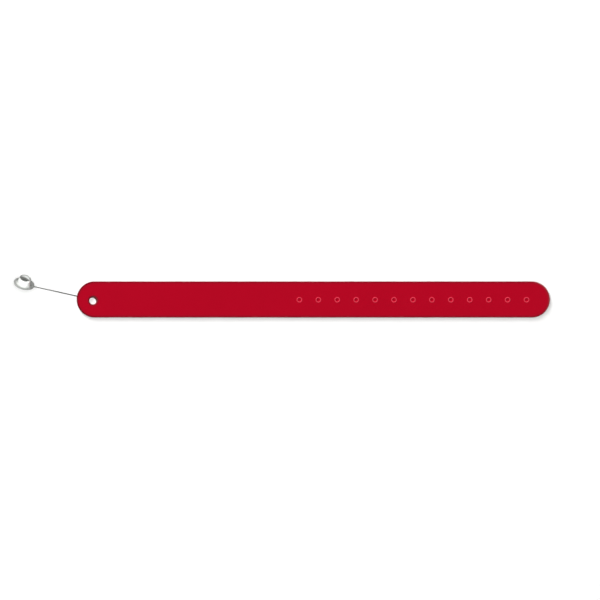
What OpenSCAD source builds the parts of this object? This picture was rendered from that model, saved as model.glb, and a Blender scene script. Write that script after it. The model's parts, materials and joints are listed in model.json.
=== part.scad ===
// Flat, open wristband of soft reflective PVC, lying on its back.
// The origin is the centre of the strap's underside. +X runs along the strap, away from the
// fastening hole, +Y runs across it, and +Z points up from the surface that it lies on.

/* [Strap] */
// Length of the strap from end to end
strap_length = 250; // [220:5:300]
// Width of the strap, whose ends are half circles
strap_width = 19; // [16:0.5:24]
// Thickness of the strap
strap_thickness = 1.2; // [1.1:0.1:1.6]
// Radius that eases the edges of the strap
edge_radius = 0.25; // [0.1:0.05:0.35]

/* [Fastening hole] */
// Diameter of the fastening hole
hole_diameter = 4.8; // [4:0.1:5.2]
// Distance from the left end of the strap to the centre of the hole
hole_inset = 8.7; // [8.5:0.1:11]
// Distance from the strap's centre line to the centre of the hole, negative towards -Y
hole_side = -0.65; // [-1:0.05:1]

/* [Marker rings] */
// Number of marker rings
ring_count = 13; // [2:1:15]
// Distance from one ring to the next
ring_pitch = 10; // [6:0.5:11]
// Distance from the right end of the strap to the centre of the last ring
ring_inset = 12.3; // [10:0.1:14]
// Distance from the strap's centre line to the centres of the rings, negative towards -Y
ring_side = -0.2; // [-0.5:0.05:0.5]
// Outer diameter of a ring
ring_diameter = 3; // [2.6:0.1:3.6]
// Width of the raised bead that makes a ring
ring_bead = 0.6; // [0.5:0.05:0.7]
// Height of the bead above the strap
ring_height = 0.2; // [0.1:0.05:0.25]
// Depth of the dimple inside a ring
dimple_depth = 0.3; // [0.2:0.05:0.5]

/* [Eyelet] */
// Diameter of the eyelet over its rolled rim
flange_diameter = 11.2; // [11:0.1:13]
// Diameter of the roll at the edge of the flange
rim_diameter = 0.9; // [0.9:0.05:1.1]
// Thickness of the flange
flange_thickness = 0.45; // [0.3:0.05:0.5]
// Diameter of the barrel where it rises from the flange
barrel_base_diameter = 8; // [7:0.1:8]
// Diameter of the barrel at its tip
barrel_tip_diameter = 6.1; // [5.8:0.1:6.2]
// Height of the barrel's tip above the middle of the rim
barrel_height = 3.7; // [3.4:0.1:5]
// Diameter of the straight throat inside the tip
throat_diameter = 5.6; // [4.8:0.1:5.6]
// Length of the straight throat
throat_length = 1; // [0.6:0.1:1.4]
// Radius of the fillet with which the barrel flares out into the flange
root_fillet = 0.9; // [0.2:0.05:0.9]

/* [Place of the eyelet] */
// Distance from the left end of the strap to the middle of the eyelet
eyelet_reach = 27.8; // [24:0.1:40]
// Distance from the strap's centre line to the middle of the eyelet
eyelet_side = 8.3; // [5:0.05:12]
// Lean of the eyelet's axis from upright
eyelet_lean = 58; // [40:1:65]
// Direction in which the barrel leans, from +X towards +Y
eyelet_heading = 76; // [65:1:90]

/* [Tether wire] */
// Diameter of the wire
wire_diameter = 0.5; // [0.4:0.05:0.5]
// Distance from the centre line at which the wire leaves the strap
wire_exit_side = 1.75; // [0:0.05:2]
// Length of the wire inside the strap
wire_anchor = 4.4; // [3:0.1:4.4]
// Angle round the rim, up from its level diameter, at which the wire is fixed
wire_rim_angle = 4; // [0:1:15]

/* [Hidden] */
$fn = 72;

cut = 1; // how far a cutting solid reaches past a face

// Strap
end_radius = strap_width / 2;
straight_length = strap_length - strap_width;
left_end = -strap_length / 2;
hole_x = left_end + hole_inset;
last_ring_x = strap_length / 2 - ring_inset;
ring_middle = (ring_diameter - ring_bead) / 2;
dimple_diameter = ring_diameter - 2 * ring_bead;
// Radius of the circle that stands ring_height proud over a chord of ring_bead
bead_radius = (pow(ring_bead / 2, 2) + pow(ring_height, 2)) / (2 * ring_height);

// Eyelet, in its own frame: the middle of the rim is at 0 and the barrel rises along +Z
rim_radius = rim_diameter / 2;
rim_circle = flange_diameter / 2 - rim_radius;
flange_top = rim_radius - 0.2; // the roll stands 0.2 proud of the flange
flange_bottom = flange_top - flange_thickness;
base_radius = barrel_base_diameter / 2;
tip_radius = barrel_tip_diameter / 2;
throat_radius = throat_diameter / 2;
lip_radius = (tip_radius - throat_radius) / 2;
lip_height = barrel_height - lip_radius;
throat_start = lip_height - throat_length;
mouth_radius = base_radius - flange_thickness;

// The fillet's circle dips a little way into the flange's top and the barrel's tapered side
taper = atan2(base_radius - tip_radius, lip_height - flange_top);
fillet_dip = 0.01;
fillet_offset = root_fillet - fillet_dip;
fillet_middle = [
    base_radius + fillet_offset * (1 - sin(taper)) / cos(taper),
    flange_top + fillet_offset,
];
fillet_reach = 1.3 * root_fillet;

// Place of the eyelet: its rim touches the surface that the strap lies on
eyelet_middle = [
    left_end - eyelet_reach,
    eyelet_side,
    rim_circle * sin(eyelet_lean) + rim_radius,
];
// Where the wire's line meets the rim, between its level diameter and its highest point
rim_level = [sin(eyelet_heading), -cos(eyelet_heading), 0];
rim_rise = [
    -cos(eyelet_lean) * cos(eyelet_heading),
    -cos(eyelet_lean) * sin(eyelet_heading),
    sin(eyelet_lean),
];
rim_point = eyelet_middle
    + rim_circle * (cos(wire_rim_angle) * rim_level + sin(wire_rim_angle) * rim_rise);

// Ferrule on the rim
ferrule_root_radius = 0.43;
ferrule_mouth_radius = 0.38;
ferrule_length = 1.9;
socket_depth = 1.2;
socket_clearance = 0.03;
socket_gap = 0.1; // between the wire's end and the bottom of the socket

// Wire: straight in plan, level inside the strap, then rising to the rim
wire_radius = wire_diameter / 2;
wire_sides = 12;
channel_clearance = 0.05;
wire_level = strap_thickness / 2;
wire_exit = [
    -straight_length / 2 - sqrt(pow(end_radius, 2) - pow(wire_exit_side, 2)),
    wire_exit_side,
];
wire_run = [rim_point.x, rim_point.y] - wire_exit;
wire_span = norm(wire_run);
wire_course = wire_run / wire_span;
wire_heading = atan2(wire_run.y, wire_run.x);
// The bend starts and ends at these distances from the edge of the strap
bend_start = 0.8;
bend_end = 2.8;
bend_middle = (bend_start + bend_end) / 2;
wire_slope = (rim_point.z - wire_level) / (wire_span - bend_middle);
wire_rise = atan(wire_slope);
bend_steps = 5;
wire_end = wire_span - (ferrule_length - socket_depth + socket_gap) * cos(wire_rise);
wire_stations = [
    -wire_anchor,
    for (k = [0 : bend_steps]) bend_start + k * (bend_end - bend_start) / bend_steps,
    wire_end,
];

// Height of the wire's middle at a distance s from the edge of the strap
function wire_height(s) =
    s <= bend_start ? wire_level
    : s >= bend_end ? wire_level + wire_slope * (s - bend_middle)
    : wire_level + wire_slope * pow(s - bend_start, 2) / (2 * (bend_end - bend_start));

// Angle at which the wire climbs there
function wire_climb(s) =
    s <= bend_start ? 0
    : s >= bend_end ? wire_rise
    : atan(wire_slope * (s - bend_start) / (bend_end - bend_start));

function wire_point(s) = [
    wire_exit.x + s * wire_course.x,
    wire_exit.y + s * wire_course.y,
    wire_height(s),
];

// Corners of the wire's section at a station, square to its course there
function wire_ring(s) =
    let (
        side = [-wire_course.y, wire_course.x, 0],
        climb = wire_climb(s),
        up = [-sin(climb) * wire_course.x, -sin(climb) * wire_course.y, cos(climb)]
    )
    [for (k = [0 : wire_sides - 1])
        let (a = 360 * k / wire_sides)
        wire_point(s) + wire_radius * (cos(a) * side + sin(a) * up)];

// Half of the strap's section, from its middle to its eased edge
module half_section() {
    square([end_radius - edge_radius, strap_thickness]);
    translate([0, edge_radius])
        square([end_radius, strap_thickness - 2 * edge_radius]);
    for (height = [edge_radius, strap_thickness - edge_radius])
        translate([end_radius - edge_radius, height])
            circle(r = edge_radius);
}

module strap_blank() {
    translate([-straight_length / 2, 0, 0])
        rotate([90, 0, 90])
            linear_extrude(straight_length) {
                half_section();
                mirror([1, 0])
                    half_section();
            }
    for (end = [-1, 1])
        translate([end * straight_length / 2, 0, 0])
            rotate([0, 0, end * 90 - 180])
                rotate_extrude(angle = 180)
                    half_section();
}

module at_each_ring() {
    for (k = [0 : ring_count - 1])
        translate([last_ring_x - k * ring_pitch, ring_side, strap_thickness])
            children();
}

// Channel in the strap's edge that holds the end of the wire
module wire_channel() {
    translate([wire_exit.x, wire_exit.y, wire_level])
        rotate([0, 0, wire_heading])
            translate([-wire_anchor - channel_clearance, 0, 0])
                rotate([0, 90, 0])
                    cylinder(
                        h = wire_anchor + channel_clearance + cut,
                        r = wire_radius + channel_clearance
                    );
}

module strap() {
    color([0.71, 0.04, 0.14])
        difference() {
            union() {
                strap_blank();
                at_each_ring()
                    translate([0, 0, ring_height - bead_radius])
                        rotate_extrude()
                            translate([ring_middle, 0])
                                circle(r = bead_radius);
            }
            at_each_ring()
                translate([0, 0, -dimple_depth])
                    cylinder(h = dimple_depth + cut, d = dimple_diameter);
            translate([hole_x, hole_side, -cut])
                cylinder(h = strap_thickness + 2 * cut, d = hole_diameter);
            wire_channel();
        }
}

// Section of the eyelet, from its axis outwards
module eyelet_section() {
    difference() {
        union() {
            translate([0, flange_bottom])
                square([rim_circle, flange_thickness]);
            polygon([
                [0, flange_bottom],
                [base_radius, flange_top],
                [tip_radius, lip_height],
                [0, lip_height],
            ]);
            difference() {
                polygon([
                    [base_radius - fillet_reach / 2, flange_top - flange_thickness / 2],
                    fillet_middle - fillet_reach * [cos(taper), sin(taper)],
                    fillet_middle,
                    fillet_middle - fillet_reach * [0, 1],
                ]);
                translate(fillet_middle)
                    circle(r = root_fillet);
            }
        }
        polygon([
            [0, flange_bottom - cut],
            [mouth_radius, flange_bottom - cut],
            [mouth_radius, flange_bottom],
            [throat_radius, throat_start],
            [throat_radius, lip_height + cut],
            [0, lip_height + cut],
        ]);
    }
    translate([rim_circle, 0])
        circle(r = rim_radius);
    translate([throat_radius + lip_radius, lip_height])
        circle(r = lip_radius);
}

// Turns +Z to the wire's line, looking from the rim towards the strap
module along_wire() {
    translate(rim_point)
        rotate([0, 90 + wire_rise, wire_heading + 180])
            children();
}

module eyelet() {
    color([0.84, 0.86, 0.83])
        difference() {
            union() {
                translate(eyelet_middle)
                    rotate([0, eyelet_lean, eyelet_heading])
                        rotate_extrude()
                            eyelet_section();
                along_wire()
                    cylinder(h = ferrule_length, r1 = ferrule_root_radius, r2 = ferrule_mouth_radius);
            }
            along_wire()
                translate([0, 0, ferrule_length - socket_depth])
                    cylinder(h = socket_depth + cut, r = wire_radius + socket_clearance);
        }
}

module tether_wire() {
    rings = len(wire_stations);
    sides = wire_sides;
    color([0.6, 0.6, 0.6])
        polyhedron(
            points = [for (s = wire_stations) each wire_ring(s)],
            faces = [
                [for (k = [0 : sides - 1]) k],
                [for (k = [sides - 1 : -1 : 0]) (rings - 1) * sides + k],
                for (i = [0 : rings - 2])
                    for (k = [0 : sides - 1])
                        let (
                            a = i * sides + k,
                            b = i * sides + (k + 1) % sides
                        )
                        each [
                            [a, a + sides, b],
                            [b, a + sides, b + sides],
                        ],
            ],
            convexity = 4
        );
}

strap();
eyelet();
tether_wire();
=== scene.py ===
# A flat reflective wristband with an eyelet on a wire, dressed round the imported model
import json
import math

import bmesh
import bpy
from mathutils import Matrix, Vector


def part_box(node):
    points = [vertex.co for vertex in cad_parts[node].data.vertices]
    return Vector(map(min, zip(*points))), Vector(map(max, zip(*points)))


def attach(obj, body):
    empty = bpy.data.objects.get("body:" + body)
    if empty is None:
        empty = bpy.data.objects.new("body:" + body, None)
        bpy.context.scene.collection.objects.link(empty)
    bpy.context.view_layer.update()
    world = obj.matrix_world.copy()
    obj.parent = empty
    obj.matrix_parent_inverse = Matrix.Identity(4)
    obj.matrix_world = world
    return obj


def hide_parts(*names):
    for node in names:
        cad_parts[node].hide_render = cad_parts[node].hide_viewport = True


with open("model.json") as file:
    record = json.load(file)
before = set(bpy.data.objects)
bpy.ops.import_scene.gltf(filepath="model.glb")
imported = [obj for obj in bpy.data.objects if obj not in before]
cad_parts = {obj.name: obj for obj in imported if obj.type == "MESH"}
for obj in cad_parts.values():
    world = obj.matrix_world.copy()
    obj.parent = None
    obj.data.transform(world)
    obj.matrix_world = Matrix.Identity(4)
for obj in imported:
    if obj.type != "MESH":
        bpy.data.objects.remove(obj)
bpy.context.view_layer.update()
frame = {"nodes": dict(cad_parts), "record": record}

mm = 0.001  # Blender works in metres here
sharpAngle = math.radians(50)  # an edge that turns by more than this isn't shaded smooth
upright = Vector((0, 0, 1))
mounts = {mount["name"]: mount for mount in frame["record"]["mounts"]}
print("Frame loaded, nodes:", ", ".join(sorted(frame["nodes"])))


# Shader helpers

class Signal:
    # a node's output that can be used in a sum, each operator adds its Math node
    def __init__(self, shader, socket):
        self.shader = shader
        self.socket = socket

    def __add__(self, other):
        return self.shader.math("ADD", self, other)

    def __radd__(self, other):
        return self.shader.math("ADD", other, self)

    def __sub__(self, other):
        return self.shader.math("SUBTRACT", self, other)

    def __rsub__(self, other):
        return self.shader.math("SUBTRACT", other, self)

    def __mul__(self, other):
        return self.shader.math("MULTIPLY", self, other)

    def __rmul__(self, other):
        return self.shader.math("MULTIPLY", other, self)

    def __truediv__(self, other):
        return self.shader.math("DIVIDE", self, other)

    def __rtruediv__(self, other):
        return self.shader.math("DIVIDE", other, self)

    def __abs__(self):
        return self.shader.math("ABSOLUTE", self)

    def larger(self, other):
        return self.shader.math("MAXIMUM", self, other)

    def smaller(self, other):
        return self.shader.math("MINIMUM", self, other)

    # 0 as far as start, 1 from end on and smooth between, upwards or downwards
    def step(self, start, end):
        settings = {"interpolation_type": "SMOOTHSTEP"}
        sockets = {"Value": self, "From Min": start, "From Max": end}
        return self.shader.node("ShaderNodeMapRange", settings, sockets)

    # low where this is 0 and high where it is 1
    def between(self, low, high):
        return low + self * (high - low)


class Shader:
    # the nodes of a material or of the world, all made by the node method
    def __init__(self, owner):
        self.owner = owner
        self.owner.use_nodes = True
        self.tree = self.owner.node_tree
        self.tree.nodes.clear()

    def node(self, kind, settings=None, sockets=None, output=0):
        made = self.tree.nodes.new(kind)
        for name, value in (settings or {}).items():
            setattr(made, name, value)
        for name, value in (sockets or {}).items():
            if isinstance(value, Signal):
                self.tree.links.new(value.socket, made.inputs[name])
            else:
                made.inputs[name].default_value = value
        return Signal(self, made.outputs[output]) if made.outputs else made

    def math(self, operation, *values):
        return self.node("ShaderNodeMath", {"operation": operation}, dict(enumerate(values)))

    def vectorMath(self, operation, sockets, output="Vector"):
        return self.node("ShaderNodeVectorMath", {"operation": operation}, sockets, output)

    def scaled(self, vector, factor):
        return self.vectorMath("SCALE", {0: vector, "Scale": factor})

    def stretched(self, vector, factors):
        return self.vectorMath("MULTIPLY", {0: vector, 1: factors})

    def away(self, vector, origin):
        return self.vectorMath("SUBTRACT", {0: vector, 1: origin})

    def dot(self, vector, direction):
        return self.vectorMath("DOT_PRODUCT", {0: vector, 1: direction}, "Value")

    def length(self, vector):
        return self.vectorMath("LENGTH", {0: vector}, "Value")

    def axis(self, vector, name):
        return self.node("ShaderNodeSeparateXYZ", sockets={0: vector}, output=name)

    def vector(self, x, y, z):
        return self.node("ShaderNodeCombineXYZ", sockets={0: x, 1: y, 2: z})

    # the place on the piece in millimetres
    def place(self):
        return self.scaled(self.node("ShaderNodeTexCoord", output="Object"), 1 / mm)

    # noise of one size in millimetres, from 0 to 1 with 0.5 as its middle
    def noise(self, vector, size, detail, roughness=0.5):
        sockets = {"Vector": vector, "Scale": 1 / size, "Detail": detail, "Roughness": roughness}
        return self.node("ShaderNodeTexNoise", sockets=sockets)

    # inputs 6 and 7 and output 2 are the Mix node's sockets for colours
    def mix(self, factor, colourA, colourB):
        return self.node("ShaderNodeMix", {"data_type": "RGBA"}, {0: factor, 6: colourA, 7: colourB}, 2)

    # tones laid over each other, each with the mask where it shows
    def layers(self, colour, *layers):
        for mask, tone in layers:
            colour = self.mix(mask, colour, tone)
        return colour

    def bump(self, height, distance, strength):
        sockets = {"Height": height, "Distance": distance, "Strength": strength}
        return self.node("ShaderNodeBump", sockets=sockets)

    def finish(self, sockets):
        surface = self.node("ShaderNodeBsdfPrincipled", sockets=sockets)
        self.node("ShaderNodeOutputMaterial", sockets={"Surface": surface})
        return self.owner


def newShader(name):
    return Shader(bpy.data.materials.new(name))


# a mark is its strength, then each measure that bounds it, with where it starts and where it is full
def makeMasks(marks, measures):
    masks = {}
    for name, (strength, *bounds) in marks.items():
        steps = [measures[measure].step(start, full) for measure, start, full in bounds]
        masks[name] = math.prod(steps, start=strength)
    return masks


# Mesh helpers

# each item of a closed loop with the next one
def pairs(loop):
    return list(zip(loop, loop[1:] + loop[:1]))


# the angles of equal steps round a full turn
def fullTurn(count):
    return [2 * math.pi * i / count for i in range(count)]


def circle(middle, radius, count):
    return [(middle[0] + radius * math.cos(a), middle[1] + radius * math.sin(a)) for a in fullTurn(count)]


# how far the points of a rounded corner lie from the sides that it joins
def quarterRound(radius, count):
    turns = [math.pi / 2 * i / count for i in range(count + 1)]
    return [(radius * (1 - math.cos(a)), radius * (1 - math.sin(a))) for a in turns]


# outline of a bar with half-round ends, anticlockwise, set in from its edge
def barOutline(length, width, inset, endSteps, sideSteps):
    straight = (length - width) / 2
    radius = width / 2 - inset
    outline = []
    for end in (1, -1):
        for i in range(endSteps + 1):
            angle = math.pi * (i / endSteps - 0.5)
            outline.append((end * (straight + radius * math.cos(angle)), end * radius * math.sin(angle)))
        for i in range(1, sideSteps):
            outline.append((end * straight * (1 - 2 * i / sideSteps), end * radius))
    return outline


def addLoop(mesh, outline, height):
    return [mesh.verts.new((x, y, height)) for x, y in outline]


def bridge(mesh, loops):
    for upper, lower in zip(loops, loops[1:]):
        for (a, b), (c, d) in zip(pairs(upper), pairs(lower)):
            mesh.faces.new((a, b, d, c))


def addTube(mesh, loops):
    bridge(mesh, loops)
    mesh.faces.new(loops[0])
    mesh.faces.new(loops[-1])


def fan(mesh, loop, middle):
    for a, b in pairs(loop):
        mesh.faces.new((a, b, middle))


# flat face with holes, up is 1 where it looks up and -1 where it looks down
def fillFace(mesh, loops, up):
    edges = [mesh.edges.get(pair) for loop in loops for pair in pairs(loop)]
    bmesh.ops.triangle_fill(mesh, use_beauty=True, edges=edges, normal=(0, 0, up))


def addPiece(name, mesh, material):
    bmesh.ops.recalc_face_normals(mesh, faces=mesh.faces)
    data = bpy.data.meshes.new(name)
    mesh.to_mesh(data)
    mesh.free()
    data.polygons.foreach_set("use_smooth", [True] * len(data.polygons))
    data.set_sharp_from_angle(angle=sharpAngle)
    data.materials.append(material)
    piece = bpy.data.objects.new(name, data)
    bpy.context.collection.objects.link(piece)
    return piece


# Strap of soft reflective PVC

strapBand = {
    "red": (0.408, 0.0008, 0.0138, 1),
    "deepRed": (0.375, 0.0007, 0.0120, 1),  # slow drifts of colour in the sheet
    "grooveRed": (0.246, 0.0005, 0.0085, 1),  # in the fine grooves between the prisms
    "beadRed": (0.680, 0.044, 0.080, 1),  # stretched paler over the beads
    "cutAndShadeRed": (0.212, 0.0045, 0.0140, 1),  # the bare cut wall, and painted shade along the rounded edges and round the hole
    "rimShade": (0.105, 0.0018, 0.0080, 1),  # painted shade: a dark line round the left end
    "rimGlint": (0.460, 0.0800, 0.0950, 1),  # painted highlight: a pale line round the right end
    "tornWallShade": (0.175, 0.0340, 0.0380, 1),  # painted shade on the torn side of the hole's wall
    "wallStrength": 0.85,  # how far the cut colour covers the strap's own edge

    # noises: size in mm, detail and roughness
    "drift": (22, 3),
    "speckle": (0.7, 3, 0.6),
    "rub": (0.9, 4, 0.62),
    "rubStretch": (0.08, 1, 1),  # scuffs run along the strap

    # marks: strength, then where each starts and is full, in mm but for the noises and the prisms
    "marks": {
        "drift": (0.35, ("drift", 0.3, 0.7)),
        "speckle": (0.10, ("speckle", 0.35, 0.75)),
        "groove": (0.45, ("prism", 0.22, 0)),
        "rub": (1, ("rub", 0.56, 0.74)),
        # painted shade on the top face towards the rounded edge and round the hole's rim
        "edge": (0.95, ("inset", 1.7, 0)),
        "holeRimShade": (0.95, ("hole", 0.9, 0)),
        "leftRim": (0.60, ("inset", 0.95, 0.35), ("x", -113, -120)),
        "rightRim": (0.36, ("inset", 0.95, 0.35), ("x", 113, 120), ("y", -9, -1)),
        "bead": (1, ("bead", 0.05, -0.15)),
        "dimple": (0.5, ("ring", 0.98, 0.80)),
        "wall": (1, ("inset", 0.09, 0.02)),
        "bore": (1, ("hole", 0.06, -0.02)),
        # painted shade on the hole's torn side
        "torn": (0.9, ("torn", 0.2, 1.5)),
    },
    "gloss": 0.03,  # specular level
    "ior": 1.5,
    "roughness": 0.36,
    "roughnessShifts": {"speckle": 0.10, "rub": 0.07, "prism": -0.05, "bead": -0.08, "cut": 0.22},
    "prismTurns": (30, 90, 150),  # degrees, one for each set of ridges
    "prismPitch": 0.45,  # mm, the reflective layer's tiny three-sided prisms
    "speckleHeight": 0.25,  # against a prism's
    "bump": (0.03 * mm, 0.6),  # height of a prism, and how much of it shows

    "edgeRound": 0.25 * mm,
    "edgeSteps": 5,
    "margin": 0.12 * mm,  # flat border inside each rounded edge
    "endSteps": 56,
    "sideSteps": 60,
    "holeSteps": 72,
    "holeRound": 0.10 * mm,  # rounding of its upper rim
    "holeEase": 0.3,  # how far that rounding's middle lies from both faces, as a share of it
    "wallSteps": 8,  # down the hole's wall
    "holeFoot": 1.91 * mm,  # radius of the hole at the bottom, where the punched sheet springs back
    "burr": 0.53 * mm,  # how much further the torn wall leans in on one side
    "burrHeading": 48,  # and on which, in degrees from +X
    "burrPower": 1.2,  # more makes it narrower
    "lean": (-0.07 * mm, -0.03 * mm),  # how far the hole runs sideways on its way down
    "ringCount": 13,
    "ringPitch": 10 * mm,
    "ringInset": 12.3 * mm,  # from the right end to the last ring's middle
    "ringSide": -0.2 * mm,  # the row of rings lies a little off the centre line
    "ringMiddle": 1.2 * mm,  # radius of the bead's crest
    "ringSteps": 40,
    "beadWidth": 0.6 * mm,
    "beadHeight": 0.2 * mm,
    "beadPower": 1.4,  # more makes it sharper
    "beadSteps": 8,
    "dimpleDepth": 0.3 * mm,
    "dimpleInset": 0.02 * mm,  # from the bead's inner foot to the dimple's wall
    "dimpleRound": 0.12 * mm,
    "dimpleSteps": 3,
    "dimpleFlat": 0.45,  # radius of its flat floor, as a share of the bead's inner radius
}

strapLow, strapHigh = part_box("strap")
strapLength = strapHigh.x - strapLow.x
strapWidth = strapHigh.y - strapLow.y
strapTop = strapHigh.z - strapBand["beadHeight"]
hole = mounts["fastening_hole"]
holeMiddle = hole["pos_m"]
holeRadius = hole["dims"]["r_mm"] * mm
burrTurn = math.radians(strapBand["burrHeading"])
lastRing = strapHigh.x - strapBand["ringInset"]
firstRing = lastRing - (strapBand["ringCount"] - 1) * strapBand["ringPitch"]


# three sets of ridges at 60 degrees to each other, as in a cube-corner reflecting sheet
def prismSheet(shader, x, y):
    ridges = []
    for degrees in strapBand["prismTurns"]:
        turn = math.radians(degrees)
        across = (x * math.cos(turn) + y * math.sin(turn)) / strapBand["prismPitch"]
        ridges.append(shader.math("PINGPONG", across, 0.5) * 2)
    first, second, third = ridges
    return first.smaller(second).smaller(third)


def reflectivePvc():
    band = strapBand
    shader = newShader("red_reflective_sheet")
    place = shader.place()
    x = shader.axis(place, "X")
    y = shader.axis(place, "Y")

    # distance from the middle of the nearest ring
    pitch = band["ringPitch"] / mm
    number = (x - firstRing / mm) / pitch
    nearest = shader.math("ROUND", number).larger(0).smaller(band["ringCount"] - 1)
    fromRing = shader.length(shader.vector((number - nearest) * pitch, y - band["ringSide"] / mm, 0))

    # distance past the straight sides, and from the hole's middle
    past = (abs(x) - (strapLength - strapWidth) / 2 / mm).larger(0)
    spoke = shader.away(shader.vector(x, y, 0), (holeMiddle[0] / mm, holeMiddle[1] / mm, 0))

    speckle = shader.noise(place, *band["speckle"])
    prism = prismSheet(shader, x, y)
    masks = makeMasks(band["marks"], {
        "x": x,
        "y": y,
        "ring": fromRing,
        "bead": abs(fromRing - band["ringMiddle"] / mm) - band["beadWidth"] / 2 / mm,  # out from its side
        "inset": strapWidth / 2 / mm - shader.length(shader.vector(past, y, 0)),  # in from the outline
        "hole": shader.length(spoke) - holeRadius / mm,  # out from its edge
        "torn": shader.dot(spoke, (math.cos(burrTurn), math.sin(burrTurn), 0)),  # to the torn side
        "drift": shader.noise(place, *band["drift"]),
        "speckle": speckle,
        "prism": prism,
        "rub": shader.noise(shader.stretched(place, band["rubStretch"]), *band["rub"]),
    })
    bead = masks["bead"]
    cut = masks["wall"].larger(masks["bore"])
    relief = prism * (1 - cut)

    colour = shader.layers(
        band["red"],
        (masks["drift"], band["deepRed"]),
        (masks["speckle"], band["deepRed"]),
        (masks["groove"], band["grooveRed"]),
        (masks["edge"].larger(masks["holeRimShade"]), band["cutAndShadeRed"]),
        (masks["leftRim"], band["rimShade"]),
        (masks["rightRim"], band["rimGlint"]),
        (bead, band["beadRed"]),
        (masks["dimple"], band["red"]),
        (masks["wall"] * band["wallStrength"], band["cutAndShadeRed"]),
        # the hole's wall, with painted shade on its torn side
        (masks["bore"], shader.mix(masks["torn"], band["cutAndShadeRed"], band["tornWallShade"])),
    )
    shifts = band["roughnessShifts"]
    roughness = band["roughness"] + (speckle - 0.5) * shifts["speckle"] + masks["rub"] * shifts["rub"]
    roughness = roughness + relief * shifts["prism"] + bead * shifts["bead"] + cut * shifts["cut"]
    return shader.finish({
        "Base Color": colour,
        "Roughness": roughness,
        "Normal": shader.bump(relief * (1 - bead) + speckle * band["speckleHeight"], *band["bump"]),
        "Specular IOR Level": band["gloss"],
        "IOR": band["ior"],
    })


# depth runs from 0 at the top face to 1 at the underside
def holeOutline(depth, spread):
    band = strapBand
    outline = []
    for angle in fullTurn(band["holeSteps"]):
        burr = band["burr"] * max(0, math.cos(angle - burrTurn)) ** band["burrPower"]
        radius = holeRadius + (band["holeFoot"] - burr - holeRadius) * depth + spread
        outline.append((
            holeMiddle[0] + radius * math.cos(angle) + band["lean"][0] * depth,
            holeMiddle[1] + radius * math.sin(angle) + band["lean"][1] * depth,
        ))
    return outline


# a bead round a dimple, and its outer loop for the top face to join
def addRing(mesh, middle):
    band = strapBand
    outer = band["ringMiddle"] + band["beadWidth"] / 2
    inner = outer - band["beadWidth"]
    floor = -band["dimpleDepth"]
    profile = [(outer + band["margin"], 0)]
    for i in range(band["beadSteps"] + 1):
        t = i / band["beadSteps"]
        swell = math.sin(math.pi * t) ** band["beadPower"]
        profile.append((outer - t * band["beadWidth"], band["beadHeight"] * swell))
    for inward, rise in quarterRound(band["dimpleRound"], band["dimpleSteps"]):
        profile.append((inner - band["dimpleInset"] - inward, floor + rise))
    profile.append((inner * band["dimpleFlat"], floor))
    loops = [
        addLoop(mesh, circle(middle, radius, band["ringSteps"]), strapTop + height)
        for radius, height in profile
    ]
    bridge(mesh, loops)
    fan(mesh, loops[-1], mesh.verts.new((*middle, strapTop + floor)))
    return loops[0]


def buildStrap():
    band = strapBand
    mesh = bmesh.new()

    # rounded edge, from the flat border on top round to the flat border underneath
    section = [(band["edgeRound"] + band["margin"], strapTop)]
    for down, inset in quarterRound(band["edgeRound"], band["edgeSteps"]):
        section.append((inset, strapTop - down))
    section += [(inset, strapTop - height) for inset, height in reversed(section)]
    loops = []
    for inset, height in section:
        outline = barOutline(strapLength, strapWidth, inset, band["endSteps"], band["sideSteps"])
        loops.append(addLoop(mesh, outline, height))
    bridge(mesh, loops)

    # punched hole with a soft rim: depth, spread and height of each loop
    rim = band["holeRound"]
    eased = rim * band["holeEase"]
    levels = [(0, rim + band["margin"], strapTop), (0, rim, strapTop), (0, eased, strapTop - eased)]
    for i in range(band["wallSteps"] + 1):
        height = (strapTop - rim) * (1 - i / band["wallSteps"])
        levels.append((1 - height / strapTop, 0, height))
    levels.append((1, band["margin"], 0))
    holeLoops = [addLoop(mesh, holeOutline(depth, spread), height) for depth, spread, height in levels]
    bridge(mesh, holeLoops)

    rings = [
        addRing(mesh, (firstRing + i * band["ringPitch"], band["ringSide"]))
        for i in range(band["ringCount"])
    ]
    fillFace(mesh, [loops[0], holeLoops[0]] + rings, 1)
    fillFace(mesh, [loops[-1], holeLoops[-1]], -1)
    return addPiece("strap_band", mesh, reflectivePvc())


strapPiece = buildStrap()
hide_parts("strap")
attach(strapPiece, "root")
print("Strap:", len(strapPiece.data.polygons), "faces")


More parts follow.
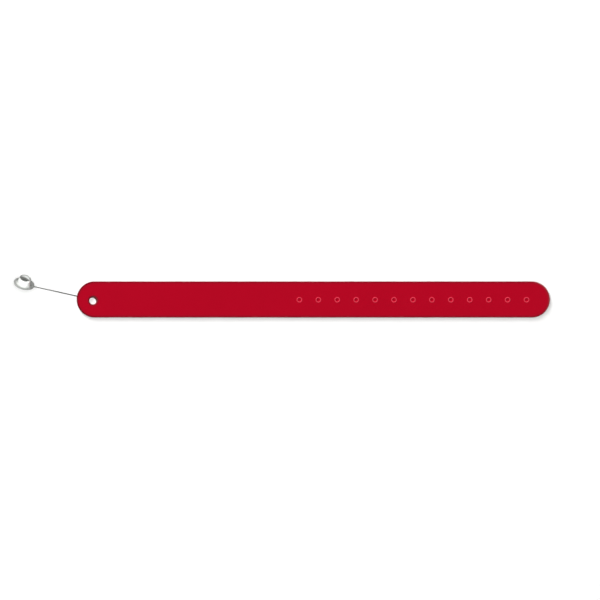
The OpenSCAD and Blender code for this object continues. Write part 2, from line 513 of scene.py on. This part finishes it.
# Eyelet of plated sheet steel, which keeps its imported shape

eyelet = {
    "bright": (0.90, 0.92, 0.895, 1),
    # the flange's grey: partly a duller satin finish, partly painted shade
    "satinAndShade": (0.31, 0.32, 0.305, 1),
    "shadeAndScuffs": (0.105, 0.110, 0.104, 1),  # painted shade on the right flank, deep in the barrel, on the left and on the lip; also the cloudy tone and scratches
    "gloom": (0.045, 0.047, 0.044, 1),  # painted shade at the barrel's foot inside, and beside its lip
    "roughness": (0.38, 0.32),  # on the satin flange and on the bright barrel
    "metallic": (0.7, 1.0),
    "rimCircle": 5.15 * mm,  # radius of the rolled rim's middle line
    "throatRise": 3.075 * mm,  # from the middle of the rim to the middle of the throat
    "baseRadius": 4.07 * mm,  # of the barrel's outer face, level with the rim
    "taper": 0.286,  # how fast that radius shrinks as the barrel rises
    "wireAngle": 4,  # degrees round the rim, up from its level diameter, to the wire

    # noises: size in mm, detail and roughness
    "lathe": (0.09, 2, 0.6),
    "cloud": (1.6, 3, 0.55),
    "scratch": (0.35, 3, 0.65),
    "scratchStretch": (3.5, 0.5, 1.2),  # scratches run mostly along Y

    # marks: strength, then where each starts and is full. Measured in mm from the middle of the rim:
    # side and slope across the flange, rise up the barrel, radius, and depth in from the barrel's face,
    # with turn for the side and dip for the rise where their edges run aslant
    "marks": {
        # foot: painted shade, greys the barrel's foot on the right
        "foot": (0.4, ("side", 0.3, 2.8), ("rise", 1.4, 0.6)),
        "hollow": (1, ("depth", 0.04, 0.16)),
        "deep": (1, ("dip", 2.9, 1.5)),
        "nearLip": (1, ("slope", 0.4, 1.6), ("rise", 3.0, 3.3)),
        # pit: painted shade in the barrel's foot inside
        "pit": (0.8, ("depth", 0.04, 0.16), ("rise", 0.5, 0.0)),
        # painted shade: brings the lip's dark line lower on one side
        "lipShadeReach": (0.13, ("slope", 0.5, 2.0), ("side", -0.8, 0.2), ("side", 1.5, 0.5)),
        "lipRight": (1, ("side", 0.5, 2.2)),
        "lipBelow": (1, ("slope", 0.6, -0.4)),
        "lipLeft": (0.5, ("side", -1.8, -2.5), ("slope", 0.8, 1.6)),
        # band and flank: painted shade down the right of the barrel and the flange
        "band": (0.45, ("turn", 0.3, 1.5), ("rise", 0.8, 1.5), ("rise", 3.1, 2.4)),
        "flank": (1, ("turn", 1.6, 3.0), ("rise", 3.6, 3.1), ("radius", 6.1, 5.75)),
        # arm: painted shade on the left of the flange
        "arm": (
            0.55, ("side", -2.2, -3.2), ("side", -4.5, -4.0), ("slope", 0.6, -1.4),
            ("radius", 5.05, 4.7), ("rise", 1.9, 0.9),
        ),
        # farWall: painted shade on the barrel's far wall, on the left
        "farWall": (0.5, ("side", -2.6, -3.3), ("slope", 1.6, 0.7), ("rise", 0.4, 1.8)),
        "creaseShade": (1, ("turn", 2.1, 2.6), ("rise", 1.9, 2.9)),
        "creaseShadeAbove": (1, ("slope", 0.0, 0.7)),
        "cloud": (0.12, ("cloud", 0.35, 0.8)),
        "scratch": (1, ("scratch", 0.60, 0.72)),
    },
    "turnSkew": 0.36,  # how far these edges run aslant
    "dipSkew": 0.32,
    "barrelSkew": 0.12,
    "barrelEdge": (4.65, 3.2),  # radius from which the flange's grey, partly painted shade, gives way to the bright barrel
    "lipEdge": (0.38, 0.48),  # above the middle of the throat
    "lipFade": (0.60, 0.85),  # how much of the lip's line is lost on the right, above and below
    "flankShadeStrength": (0.55, 0.90),  # on the flange and on the barrel
    "creaseShadeStrength": (0.35, 0.85),  # below and above the level diameter
    "scratchStrength": 0.08,
    "insideStrength": 0.9,
    "lipStrength": 0.85,
    "roughnessShifts": {"lathe": 0.12, "scratch": 0.10, "inside": 0.12},
    "scratchHeight": -0.6,  # against the lathe lines'
    "bump": (0.01 * mm, 0.25),
}

throat = mounts["eyelet_throat"]
eyeletAxis = Vector(throat["axis"])
eyeletMiddle = Vector(throat["pos_m"]) - eyelet["throatRise"] * eyeletAxis
level = Vector((eyeletAxis.y, -eyeletAxis.x, 0)).normalized()  # the flange's level diameter
upSlope = level.cross(eyeletAxis)
wireTurn = math.radians(eyelet["wireAngle"])
rimPoint = eyeletMiddle + eyelet["rimCircle"] * (math.cos(wireTurn) * level + math.sin(wireTurn) * upSlope)


def eyeletMetal():
    shader = newShader("plated_sheet_steel")
    place = shader.place()
    out = shader.away(place, eyeletMiddle / mm)
    rise = shader.dot(out, eyeletAxis)
    side = shader.dot(out, level)
    slope = shader.dot(out, upSlope)
    radius = shader.length(shader.away(out, shader.scaled(eyeletAxis, rise)))

    # lathe lines run round the axis, so they vary with the radius and the rise alone
    lathe = shader.noise(shader.vector(radius, rise, 0), *eyelet["lathe"])
    scuffed = shader.stretched(place, eyelet["scratchStretch"])
    masks = makeMasks(eyelet["marks"], {
        "side": side,
        "slope": slope,
        "rise": rise,
        "radius": radius,
        "depth": eyelet["baseRadius"] / mm - eyelet["taper"] * rise - radius,
        "turn": side - slope * eyelet["turnSkew"],
        "dip": rise + side * eyelet["dipSkew"],
        "cloud": shader.noise(place, *eyelet["cloud"]),
        "scratch": shader.noise(scuffed, *eyelet["scratch"]),
    })
    scratch = masks["scratch"]
    outside = 1 - masks["hollow"]
    # painted shade deep in the barrel and inside its near lip
    inside = masks["hollow"] * masks["deep"].larger(masks["nearLip"])
    barrel = (radius - slope * eyelet["barrelSkew"] + masks["foot"]).step(*eyelet["barrelEdge"])
    # painted shade down the right flank, lighter on the flange
    flankShade = masks["flank"].larger(masks["band"]) * barrel.between(*eyelet["flankShadeStrength"])
    # painted shade in the crease where the barrel meets the flange on the right
    creaseShade = masks["creaseShade"] * masks["creaseShadeAbove"].between(*eyelet["creaseShadeStrength"])
    # the lip's dark line: partly its bare cut edge, partly painted shade
    lip = (rise + masks["lipShadeReach"] - eyelet["throatRise"] / mm).step(*eyelet["lipEdge"])
    lip = lip * (1 - masks["lipRight"] * masks["lipBelow"].between(*eyelet["lipFade"]))
    lip = lip * (1 - masks["lipLeft"])

    colour = shader.layers(
        eyelet["satinAndShade"],
        (barrel, eyelet["bright"]),
        (masks["cloud"] + scratch * eyelet["scratchStrength"], eyelet["shadeAndScuffs"]),
        (flankShade * outside, eyelet["shadeAndScuffs"]),
        ((masks["arm"] + masks["farWall"]) * outside, eyelet["shadeAndScuffs"]),
        (creaseShade * outside, eyelet["gloom"]),
        (inside * eyelet["insideStrength"], eyelet["shadeAndScuffs"]),
        (masks["pit"], eyelet["gloom"]),
        (lip * eyelet["lipStrength"], eyelet["shadeAndScuffs"]),
    )
    shifts = eyelet["roughnessShifts"]
    roughness = barrel.between(*eyelet["roughness"]) + (lathe - 0.5) * shifts["lathe"]
    roughness = roughness + scratch * shifts["scratch"] + inside * shifts["inside"]
    return shader.finish({
        "Base Color": colour,
        "Roughness": roughness,
        "Metallic": barrel.between(*eyelet["metallic"]),
        "Normal": shader.bump(lathe + scratch * eyelet["scratchHeight"], *eyelet["bump"]),
    })


eyeletNode = frame["nodes"]["eyelet"]
eyeletNode.material_slots[0].material = eyeletMetal()
print("Eyelet: packed solid with its plated finish")


# Spring wire from the strap's edge to the eyelet's ferrule

wire = {
    "steel": (0.145, 0.149, 0.142, 1),
    "strapEndDark": (0.045, 0.046, 0.044, 1),  # darker towards the strap
    "oxide": (0.065, 0.065, 0.062, 1),
    "roughness": 0.34,
    "roughnessShifts": {"drawn": 0.2, "tarnish": 0.08},
    "drawn": (0.05, 2, 0.6),  # noises: size in mm, detail and roughness
    "drawnStretch": 0.03,  # the drawing lines run along the wire
    "drawnStrength": 0.15,
    "tarnish": (1.1, 3, 0.6),
    "tarnishEdge": (0.45, 0.8),
    "tarnishStrength": 0.5,
    "bump": (0.006 * mm, 0.3),
    "radius": 0.25 * mm,
    "exitSide": 1.75 * mm,  # from the strap's centre line to where the wire comes out
    "anchor": 4.4 * mm,  # length inside the strap
    "endGap": 0.8 * mm,  # from the rim to the wire's end in the ferrule
    "bendStart": 0.8 * mm,
    "bendEnd": 2.8 * mm,
    "bendSteps": 10,
    "sides": 24,
    "bevel": 0.04 * mm,
    "channelRadius": 0.3 * mm,
    "channelReach": 1 * mm,  # how far the channel's drill sticks out of the strap
}

endRadius = strapWidth / 2
wireExit = Vector((
    strapLow.x + endRadius - math.sqrt(endRadius ** 2 - wire["exitSide"] ** 2),
    wire["exitSide"],
    strapTop / 2,
))
wireSpan = (rimPoint - wireExit).xy.length
wireCourse = Vector(((rimPoint - wireExit).x, (rimPoint - wireExit).y, 0)).normalized()
wireSide = Vector((-wireCourse.y, wireCourse.x, 0))
bendMiddle = (wire["bendStart"] + wire["bendEnd"]) / 2
wireSlope = (rimPoint.z - wireExit.z) / (wireSpan - bendMiddle)


# slope of the wire, s metres on from the strap's edge
def wireClimb(s):
    start, end = wire["bendStart"], wire["bendEnd"]
    return wireSlope * min(max((s - start) / (end - start), 0), 1)


# middle of the wire there
def wirePoint(s):
    start, end = wire["bendStart"], wire["bendEnd"]
    if s >= end:
        rise = wireSlope * (s - bendMiddle)
    else:
        rise = wireSlope * max(s - start, 0) ** 2 / (2 * (end - start))
    return wireExit + s * wireCourse + rise * upright


# loop of points round the wire or its channel
def addHoop(mesh, middle, radius, up):
    spokes = [math.cos(turn) * wireSide + math.sin(turn) * up for turn in fullTurn(wire["sides"])]
    return [mesh.verts.new(middle + radius * spoke) for spoke in spokes]


def wireSteel():
    shader = newShader("drawn_steel_wire")
    place = shader.place()
    along = shader.dot(shader.away(place, wireExit / mm), wireCourse)
    sideways = shader.dot(place, wireSide)
    above = shader.axis(place, "Z") - along * wireSlope
    drawn = shader.noise(shader.vector(along * wire["drawnStretch"], sideways, above), *wire["drawn"])
    tarnish = shader.noise(place, *wire["tarnish"])
    dirt = tarnish.step(*wire["tarnishEdge"]) * wire["tarnishStrength"] + drawn * wire["drawnStrength"]
    colour = shader.layers(
        wire["steel"],
        (along.step(wireSpan / mm, 0), wire["strapEndDark"]),
        (dirt, wire["oxide"]),
    )
    shifts = wire["roughnessShifts"]
    return shader.finish({
        "Base Color": colour,
        "Roughness": wire["roughness"] + (drawn - 0.5) * shifts["drawn"] + tarnish * shifts["tarnish"],
        "Metallic": 1.0,
        "Normal": shader.bump(drawn, *wire["bump"]),
    })


def buildWire():
    mesh = bmesh.new()
    radius = wire["radius"]
    bevel = wire["bevel"]
    start = -wire["anchor"]
    end = wireSpan - wire["endGap"] / math.sqrt(1 + wireSlope ** 2)
    stations = [(start, radius - bevel), (start + bevel, radius)]
    for i in range(wire["bendSteps"] + 1):
        t = i / wire["bendSteps"]
        stations.append((wire["bendStart"] + (wire["bendEnd"] - wire["bendStart"]) * t, radius))
    stations += [(end - bevel, radius), (end, radius - bevel)]
    loops = []
    for s, hoopRadius in stations:
        up = (upright - wireClimb(s) * wireCourse).normalized()
        loops.append(addHoop(mesh, wirePoint(s), hoopRadius, up))
    addTube(mesh, loops)
    return addPiece("wire_strand", mesh, wireSteel())


wirePiece = buildWire()
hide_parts("tether_wire")
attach(wirePiece, "root")
print("Wire:", len(wirePiece.data.polygons), "faces")


# Channel in the strap's edge in which the wire sits

def cutChannel(strap):
    mesh = bmesh.new()
    radius = wire["channelRadius"]
    ends = (-wire["anchor"] - (radius - wire["radius"]), wire["channelReach"])
    addTube(mesh, [addHoop(mesh, wireExit + s * wireCourse, radius, upright) for s in ends])
    drill = addPiece("channel_drill", mesh, strap.data.materials[0])
    cut = strap.modifiers.new("channel", "BOOLEAN")
    cut.operation = "DIFFERENCE"
    cut.solver = "EXACT"
    cut.object = drill
    graph = bpy.context.evaluated_depsgraph_get()
    strap.data = bpy.data.meshes.new_from_object(strap.evaluated_get(graph))
    strap.modifiers.clear()
    strap.data.set_sharp_from_angle(angle=sharpAngle)
    bpy.data.objects.remove(drill)


cutChannel(strapPiece)
print("Strap with its channel:", len(strapPiece.data.polygons), "faces")


# Studio: pale floor, soft lamps, bright surroundings with a dark ceiling

studio = {
    "floorSize": 12.0,
    "floorDrop": 0.02 * mm,
    "floorColour": (0.93, 0.93, 0.925, 1),
    "floorHaze": (0.9, 0.9, 0.9, 1),
    "haze": (400, 2),  # noise: size in mm and detail
    "hazeStrength": 0.02,
    "floorRoughness": 0.9,
    "overhead": {"power": 67.0, "size": 2.9, "height": 2.6},
    "key": {"power": 112.0, "size": 1.8, "distance": 3.2, "azimuth": 120, "elevation": 24},
    "sheen": {"power": 1.45, "size": 0.8, "height": 0.6},
    "surroundings": (0.04, 1.25),  # light of the ceiling and of the walls
    "ceilingEdge": (0.93, 0.84),  # sines of the angles above the floor, from the ceiling to the walls
}


def addFloor():
    half = studio["floorSize"] / 2
    corners = [(-half, -half), (half, -half), (half, half), (-half, half)]
    mesh = bmesh.new()
    mesh.faces.new(addLoop(mesh, corners, -studio["floorDrop"]))
    shader = newShader("studio_floor")
    haze = shader.noise(shader.place(), *studio["haze"]) * studio["hazeStrength"]
    return addPiece("studio_floor", mesh, shader.finish({
        "Base Color": shader.mix(haze, studio["floorColour"], studio["floorHaze"]),
        "Roughness": studio["floorRoughness"],
        "Specular IOR Level": 0.0,
    }))


def addLamp(name, place, lampSettings):
    light = bpy.data.lights.new(name, "AREA")
    light.shape = "DISK"
    light.size = lampSettings["size"]
    light.energy = lampSettings["power"]
    lamp = bpy.data.objects.new(name, light)
    lamp.location = place
    lamp.rotation_euler = (-place).to_track_quat("-Z", "Y").to_euler()  # faces the middle
    lamp.visible_camera = False
    lamp.visible_glossy = False  # the metal reflects the surroundings, not the lamps
    bpy.context.collection.objects.link(lamp)
    return lamp


# seen in reflections alone: bright walls up to a dark ceiling, since the lamps do the lighting
def addSurroundings():
    world = bpy.data.worlds.new("studio_world")
    bpy.context.scene.world = world
    shader = Shader(world)
    height = shader.axis(shader.node("ShaderNodeTexCoord", output="Generated"), "Z")
    light = height.step(*studio["ceilingEdge"]).between(*studio["surroundings"])
    background = shader.node("ShaderNodeBackground", sockets={"Color": light})
    shader.node("ShaderNodeOutputWorld", sockets={"Surface": background})
    world.cycles_visibility.diffuse = False


floor = addFloor()
addSurroundings()
addLamp("overhead_lamp", studio["overhead"]["height"] * upright, studio["overhead"])
azimuth = math.radians(studio["key"]["azimuth"])
elevation = math.radians(studio["key"]["elevation"])
keyPlace = studio["key"]["distance"] * Vector((
    math.cos(azimuth) * math.cos(elevation),
    math.sin(azimuth) * math.cos(elevation),
    math.sin(elevation),
))
keyLamp = addLamp("key_lamp", keyPlace, studio["key"])

# the small metal parts stand clear of the key lamp's long shadows
shadowCasters = bpy.data.collections.new("shadow_casters")
shadowCasters.objects.link(strapPiece)
keyLamp.light_linking.blocker_collection = shadowCasters

# a soft sheen from above for the plating alone
sheenLamp = addLamp("sheen_lamp", studio["sheen"]["height"] * upright, studio["sheen"])
sheenLamp.location.x += eyeletMiddle.x
sheenLamp.visible_glossy = True
plated = bpy.data.collections.new("plated_parts")
plated.objects.link(eyeletNode)
sheenLamp.light_linking.receiver_collection = plated

camera = {
    "viewWidth": 316.98 * mm,  # what the square picture takes in
    "middle": (-7.0 * mm, -0.28 * mm),
    "height": 0.8,
}
cameraData = bpy.data.cameras.new("photo_camera")
cameraData.type = "ORTHO"
cameraData.ortho_scale = camera["viewWidth"]
cameraObject = bpy.data.objects.new("photo_camera", cameraData)
cameraObject.location = (*camera["middle"], camera["height"])
bpy.context.collection.objects.link(cameraObject)
bpy.context.scene.camera = cameraObject
bpy.context.scene.view_settings.view_transform = "Standard"
print("Studio and camera set")
